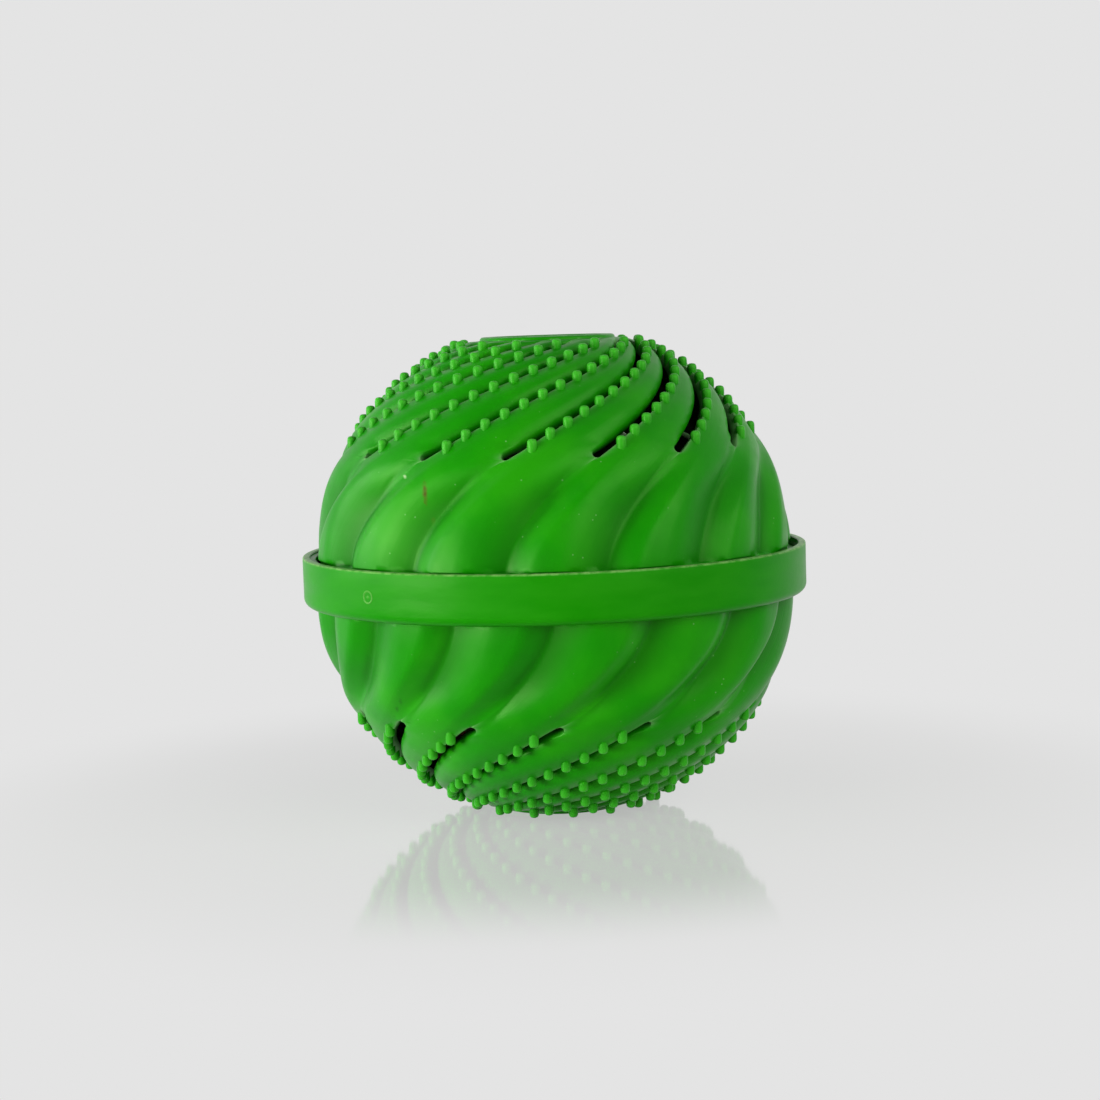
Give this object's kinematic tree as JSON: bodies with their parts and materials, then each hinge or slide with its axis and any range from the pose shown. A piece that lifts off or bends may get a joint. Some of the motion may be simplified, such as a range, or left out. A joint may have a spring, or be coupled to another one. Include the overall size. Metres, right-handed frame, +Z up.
{
  "type": "laundry ball",
  "caption": "Hollow washing ball with slotted swirling halves and rows of blunt pins, held by a bayonet band, with disc magnets and loose ceramic beads inside.",
  "frame": {"origin": "centre of the flat disc at the lower pole, on which the ball stands", "axes": "+Z up along the ball's axis, from the lower pole to the upper; -Y towards the picture's viewer"},
  "size_m": [0.11, 0.11, 0.103],
  "materials": {
    "shell_plastic": "moulded green plastic, satin",
    "band_plastic": "moulded green plastic, smooth",
    "magnet_plating": "nickel plated",
    "terracotta_ceramic": "unglazed fired ceramic, matt",
    "ivory_ceramic": "unglazed fired ceramic, matt",
    "grey_ceramic": "unglazed fired ceramic, matt",
    "umber_ceramic": "unglazed fired ceramic, matt"
  },
  "bodies": {
    "lower_half": {"lower_shell": "shell_plastic", "lower_magnet": "magnet_plating", "lower_magnet_cap": "shell_plastic", "grey_bead_01": "grey_ceramic", "grey_bead_02": "grey_ceramic", "grey_bead_03": "grey_ceramic", "grey_bead_04": "grey_ceramic", "grey_bead_05": "grey_ceramic", "grey_bead_06": "grey_ceramic", "grey_bead_07": "grey_ceramic", "grey_bead_08": "grey_ceramic", "grey_bead_09": "grey_ceramic", "ivory_bead_01": "ivory_ceramic", "ivory_bead_02": "ivory_ceramic", "ivory_bead_03": "ivory_ceramic", "ivory_bead_04": "ivory_ceramic", "ivory_bead_05": "ivory_ceramic", "ivory_bead_06": "ivory_ceramic", "ivory_bead_07": "ivory_ceramic", "ivory_bead_08": "ivory_ceramic", "ivory_bead_09": "ivory_ceramic", "terracotta_bead_01": "terracotta_ceramic", "terracotta_bead_02": "terracotta_ceramic", "terracotta_bead_03": "terracotta_ceramic", "terracotta_bead_04": "terracotta_ceramic", "terracotta_bead_05": "terracotta_ceramic", "terracotta_bead_06": "terracotta_ceramic", "terracotta_bead_07": "terracotta_ceramic", "terracotta_bead_08": "terracotta_ceramic", "terracotta_bead_09": "terracotta_ceramic", "umber_bead_01": "umber_ceramic", "umber_bead_02": "umber_ceramic", "umber_bead_03": "umber_ceramic", "umber_bead_04": "umber_ceramic", "umber_bead_05": "umber_ceramic", "umber_bead_06": "umber_ceramic", "umber_bead_07": "umber_ceramic", "umber_bead_08": "umber_ceramic", "umber_bead_09": "umber_ceramic"},
    "closing_band": {"closing_band": "band_plastic"},
    "upper_half": {"upper_shell": "shell_plastic", "upper_magnet": "magnet_plating", "upper_magnet_cap": "shell_plastic"}
  },
  "joints": [
    {"name": "band_turn", "type": "hinge", "parent": "lower_half", "child": "closing_band", "pos_m": [0, 0, 0.0515], "axis": [0, 0, 1], "range_deg": [0, 36]},
    {"name": "upper_lift", "type": "slide", "parent": "lower_half", "child": "upper_half", "axis": [0, 0, 1], "range_m": [0, 0.085]}
  ]
}
